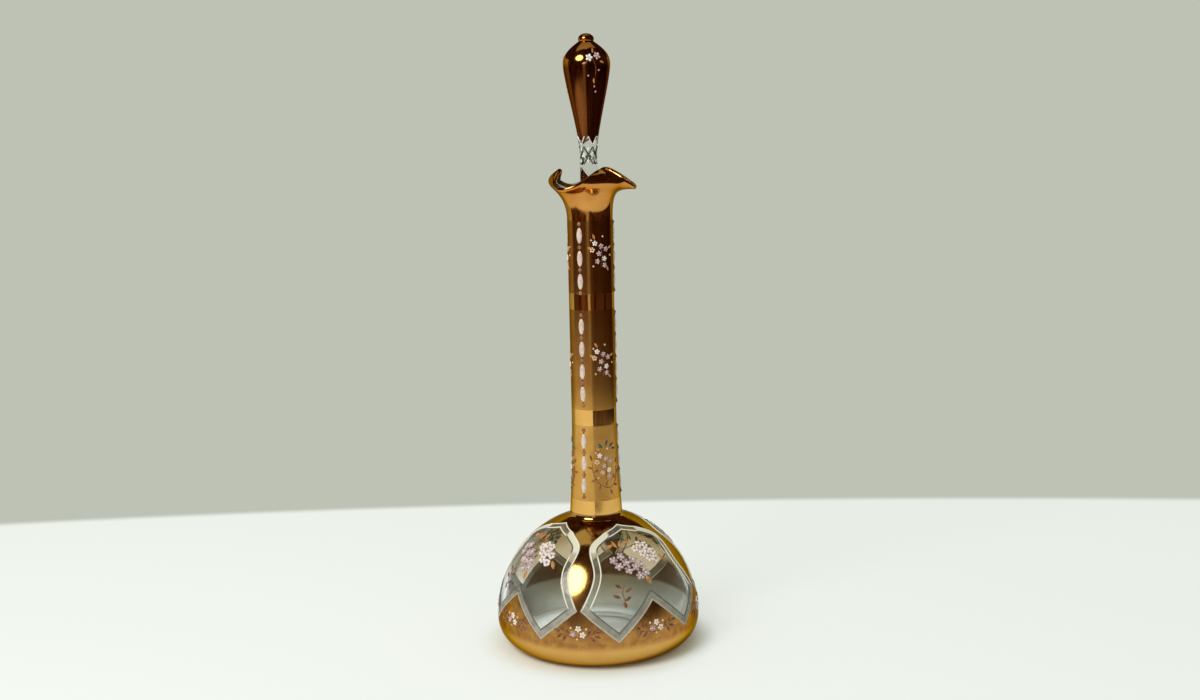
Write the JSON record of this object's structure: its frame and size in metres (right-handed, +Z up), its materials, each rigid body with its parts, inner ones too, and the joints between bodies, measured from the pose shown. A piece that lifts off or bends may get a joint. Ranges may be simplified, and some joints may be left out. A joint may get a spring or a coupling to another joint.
{
  "type": "carafe",
  "caption": "Long-necked glass carafe with a domed bowl, clear windows in fired gold, a gilded neck with raised enamel, a ruffled pouring lip and a ground drop-shaped stopper that lifts out.",
  "frame": {"origin": "centre of the foot, on the surface that the carafe stands on", "axes": "+Z up along the neck's axis; -Y towards the front, the side the picture shows; +X to the viewer's right"},
  "size_m": [0.122, 0.122, 0.3602],
  "materials": {
    "clear_glass": "clear, polished, slightly grey",
    "gilding": "burnished gold fired on the glass, mirror-like",
    "border_enamel": "frosted pale grey enamel, matt",
    "raised_enamel": "raised lilac-white enamel, glossy"
  },
  "bodies": {
    "vessel": {"vessel_glass": "clear_glass", "bowl_gilding": "gilding", "neck_gilding": "gilding", "window_border_1": "border_enamel", "window_border_2": "border_enamel", "window_border_3": "border_enamel", "window_border_4": "border_enamel", "enamel_chain_1_lower": "raised_enamel", "enamel_chain_1_middle": "raised_enamel", "enamel_chain_1_upper": "raised_enamel", "enamel_chain_2_lower": "raised_enamel", "enamel_chain_2_middle": "raised_enamel", "enamel_chain_2_upper": "raised_enamel", "enamel_chain_3_lower": "raised_enamel", "enamel_chain_3_middle": "raised_enamel", "enamel_chain_3_upper": "raised_enamel"},
    "stopper": {"stopper_glass": "clear_glass", "stopper_gilding": "gilding"}
  },
  "joints": [
    {"name": "stopper_lift", "type": "slide", "parent": "vessel", "child": "stopper", "axis": [0, 0, 1], "range_m": [0, 0.062]}
  ]
}
